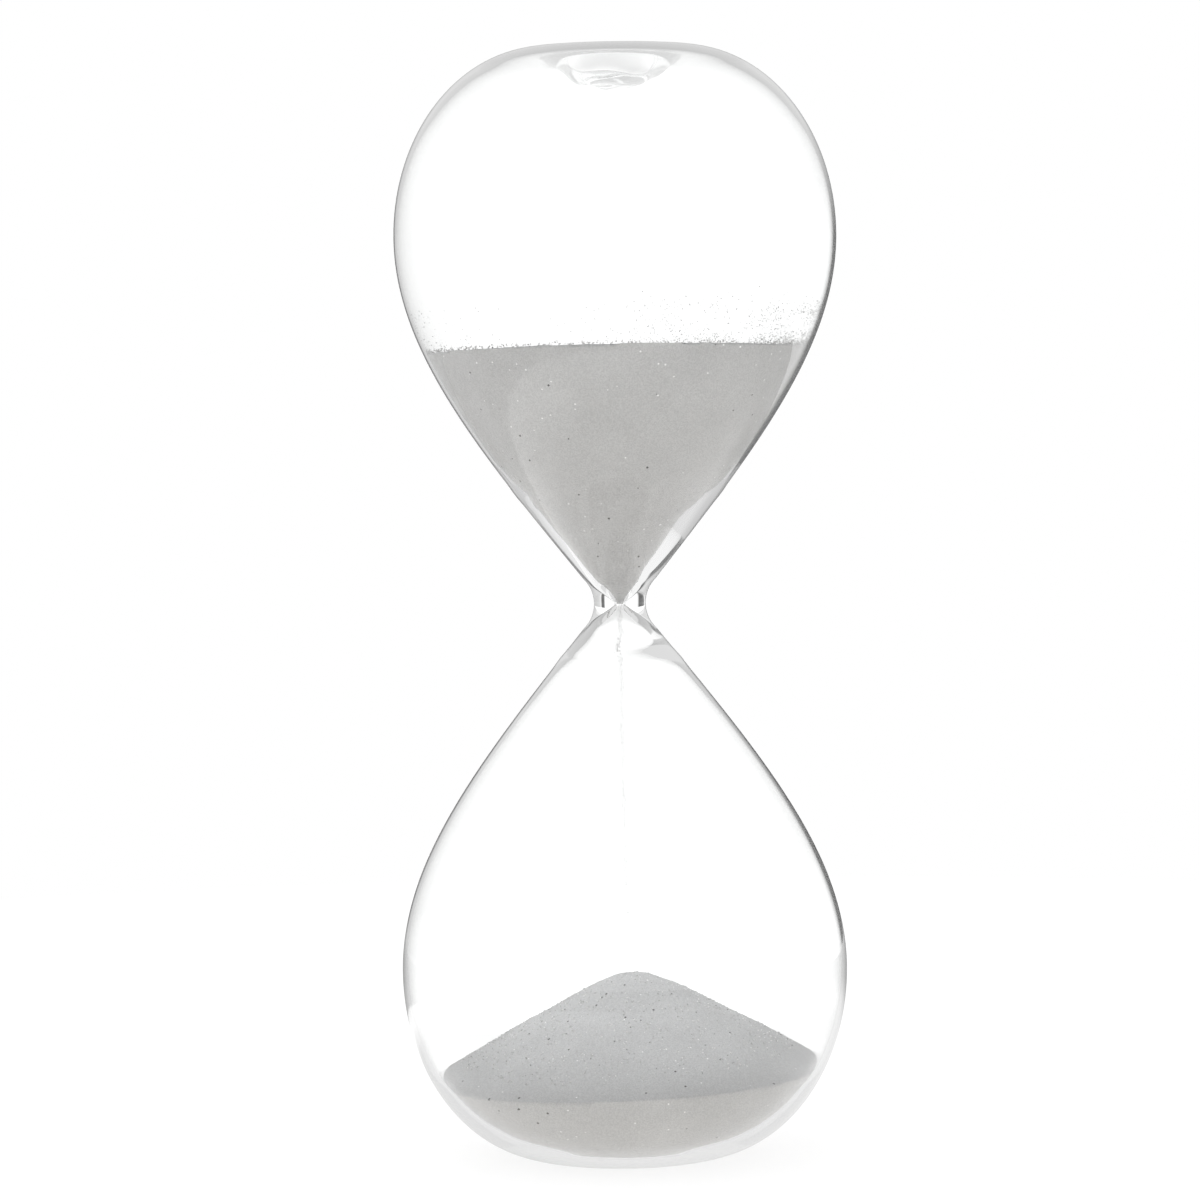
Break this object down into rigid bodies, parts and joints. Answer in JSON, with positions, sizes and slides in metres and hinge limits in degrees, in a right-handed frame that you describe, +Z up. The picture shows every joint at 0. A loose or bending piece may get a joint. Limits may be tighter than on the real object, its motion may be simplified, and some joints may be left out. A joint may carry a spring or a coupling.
{
  "type": "hourglass",
  "caption": "Frameless glass sand timer: twin blown teardrop bulbs on a thick fused neck, ends sealed, with white sand part way through its run.",
  "frame": {"origin": "centre of the flat ring that the lower bulb stands on", "axes": "+Z up, along the axis that both bulbs are turned about; X and Y are equal"},
  "size_m": [0.09, 0.09, 0.224],
  "materials": {
    "clear_glass": "clear blown borosilicate glass, fire polished",
    "white_sand": "fine off-white quartz sand, matt, with sparse dark and sparkling grains"
  },
  "bodies": {
    "glass": {"upper_bulb": "clear_glass", "lower_bulb": "clear_glass", "neck": "clear_glass", "upper_seal": "clear_glass", "lower_seal": "clear_glass", "sand_stream": "white_sand"},
    "upper_charge": {"upper_sand": "white_sand"},
    "lower_charge": {"lower_sand": "white_sand"}
  },
  "joints": [
    {"name": "upper_sand_sinks", "type": "slide", "parent": "glass", "child": "upper_charge", "axis": [0, 0, -1], "range_m": [0, 0.0505], "deforming": ["upper_sand", "sand_stream"]},
    {"name": "heap_rises", "type": "slide", "parent": "glass", "child": "lower_charge", "axis": [0, 0, 1], "range_m": [0, 0.0107], "deforming": ["lower_sand"]}
  ],
  "couplings": [
    {"joint": "heap_rises", "follows": "upper_sand_sinks", "ratio": 0.21}
  ]
}
